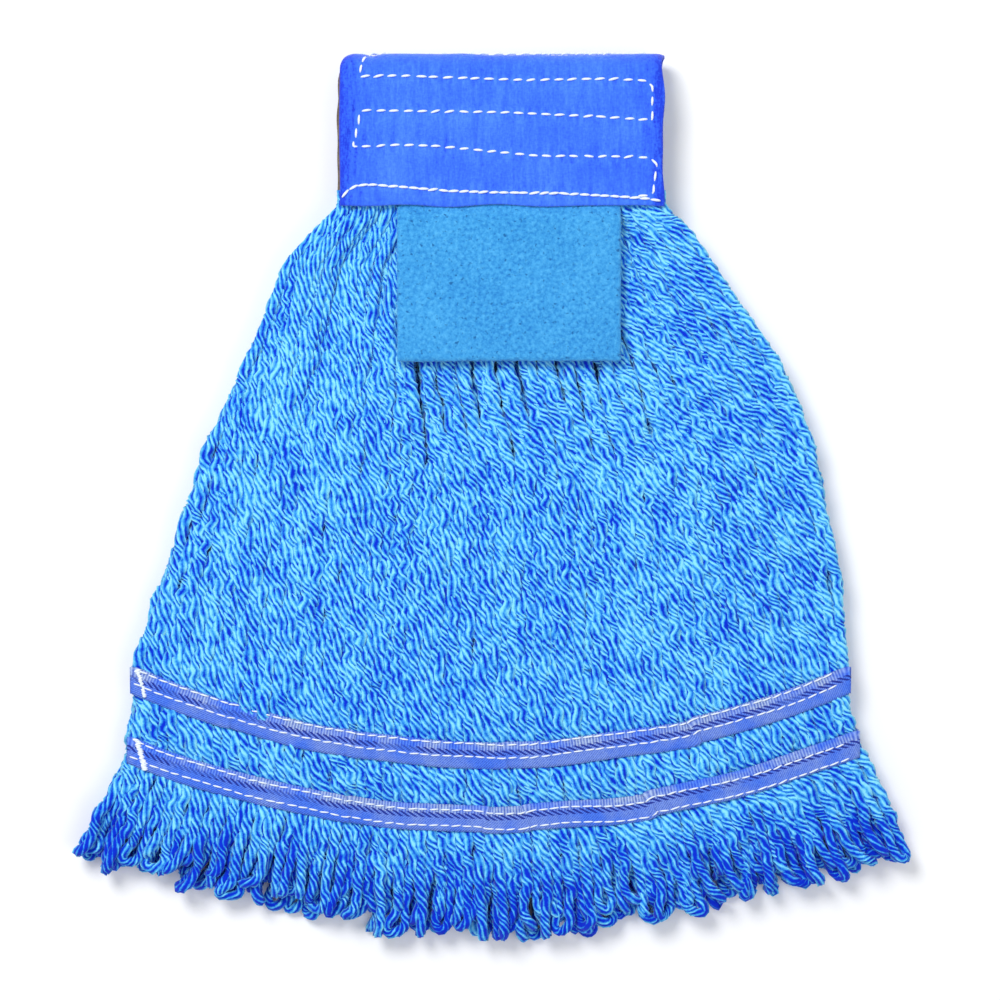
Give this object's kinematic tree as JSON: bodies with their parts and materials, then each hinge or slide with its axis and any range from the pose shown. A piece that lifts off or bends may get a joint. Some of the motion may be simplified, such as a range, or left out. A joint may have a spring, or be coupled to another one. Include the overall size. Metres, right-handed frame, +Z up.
{
  "type": "string mop head",
  "caption": "Looped-end string mop head with a wide quilted headband folded over, a scrub pad at the neck and two sewn tapes.",
  "frame": {"origin": "on the surface the mop head lies on, under the middle of its outline", "axes": "+Z up, out of the front face; +Y from the loop tips to the fold of the headband, the longest extent; +X to the right seen from above"},
  "size_m": [0.3596, 0.382, 0.0237],
  "materials": {
    "band_cloth": "woven, quilted",
    "lining": "plain woven",
    "yarn": "twisted looped yarn",
    "pad_fibre": "non-woven fibre",
    "tape": "chevron twill",
    "thread": "polyester sewing thread"
  },
  "bodies": {
    "back_half": {"back_band_cover": "band_cloth", "back_band_yarn_core": "yarn", "back_band_lining": "lining", "back_serpentine_stitching": "thread", "back_hem_seam": "thread", "back_strands_1": "yarn", "back_strands_2": "yarn", "back_strands_3": "yarn", "back_strands_4": "yarn", "back_strands_5": "yarn", "back_strands_6": "yarn", "back_strands_7": "yarn", "back_strands_8": "yarn", "back_upper_tape_outer": "tape", "back_upper_tape_inner": "tape", "back_upper_tape_stitch_above": "thread", "back_upper_tape_stitch_below": "thread", "back_upper_tape_bar_tack": "thread", "back_lower_tape_outer": "tape", "back_lower_tape_inner": "tape", "back_lower_tape_stitch_above": "thread", "back_lower_tape_stitch_below": "thread", "back_lower_tape_bar_tack": "thread"},
    "front_half": {"front_band_cover": "band_cloth", "front_band_yarn_core": "yarn", "front_band_lining": "lining", "front_serpentine_stitching": "thread", "front_hem_seam": "thread", "front_strands_1": "yarn", "front_strands_2": "yarn", "front_strands_3": "yarn", "front_strands_4": "yarn", "front_strands_5": "yarn", "front_strands_6": "yarn", "front_strands_7": "yarn", "front_strands_8": "yarn", "front_upper_tape_outer": "tape", "front_upper_tape_inner": "tape", "front_upper_tape_stitch_above": "thread", "front_upper_tape_stitch_below": "thread", "front_upper_tape_bar_tack": "thread", "front_lower_tape_outer": "tape", "front_lower_tape_inner": "tape", "front_lower_tape_stitch_above": "thread", "front_lower_tape_stitch_below": "thread", "front_lower_tape_bar_tack": "thread", "scrub_pad_seam_edge": "pad_fibre"},
    "scrub_pad": {"scrub_pad": "pad_fibre"}
  },
  "joints": [
    {"name": "band_fold", "type": "hinge", "parent": "back_half", "child": "front_half", "pos_m": [0, 0.1911, 0.0122], "axis": [-1, 0, 0], "range_deg": [0, 179]},
    {"name": "pad_lift", "type": "hinge", "parent": "front_half", "child": "scrub_pad", "pos_m": [0, 0.1238, 0.0233], "axis": [-1, 0, 0], "range_deg": [0, 150]}
  ]
}
